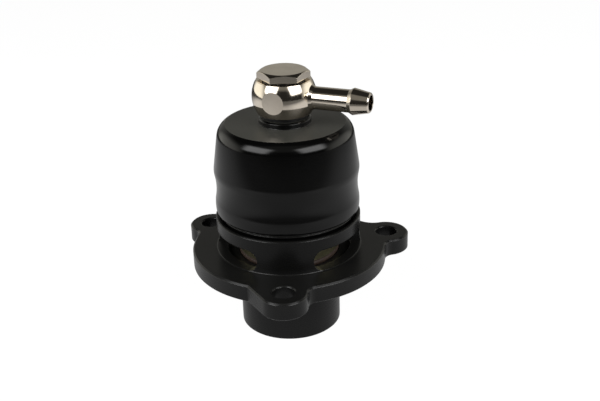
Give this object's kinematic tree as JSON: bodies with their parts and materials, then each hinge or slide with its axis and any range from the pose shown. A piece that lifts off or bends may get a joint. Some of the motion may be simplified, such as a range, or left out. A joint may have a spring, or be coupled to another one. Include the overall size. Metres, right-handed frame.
{
  "type": "blow off valve",
  "caption": "Black anodised blow off valve: eared flange with inlet spigot, slotted vent collar, sprung piston, waisted cap and a swivelling banjo hose fitting.",
  "frame": {"origin": "on the valve's axis, at the underside of the flange, where the spigot starts", "axes": "+Z along the valve's axis towards the hose fitting, -Y towards the front ear"},
  "size_m": [0.07, 0.0654, 0.0812],
  "materials": {
    "anodised_black": "black anodised, satin",
    "anodised_olive": "hard anodised, olive, satin",
    "nickel_plate": "bright nickel plate",
    "spring_steel": "drawn wire",
    "ring_steel": "black oxide wire",
    "seal_black": "matt",
    "seal_brown": "matt",
    "guide_bronze": "filled bearing plastic, matt",
    "washer_black": "matt"
  },
  "bodies": {
    "housing": {"base": "anodised_black", "flange_seal": "seal_black", "snap_ring": "ring_steel", "cap": "anodised_black", "spring": "spring_steel", "lower_washer": "washer_black", "upper_washer": "washer_black", "banjo_bolt": "nickel_plate"},
    "piston": {"piston": "anodised_olive", "nose_seal": "seal_brown", "piston_seal": "seal_black", "guide_ring": "guide_bronze"},
    "banjo": {"banjo_fitting": "nickel_plate"}
  },
  "joints": [
    {"name": "piston_lift", "type": "slide", "parent": "housing", "child": "piston", "axis": [0, 0, 1], "range_m": [0, 0.008], "stiffness_N_per_m": 2440, "springref_m": -0.006, "deforming": ["spring"]},
    {"name": "banjo_swivel", "type": "hinge", "parent": "housing", "child": "banjo", "pos_m": [0, 0, 0.0529], "axis": [0, 0, 1], "continuous": true}
  ]
}
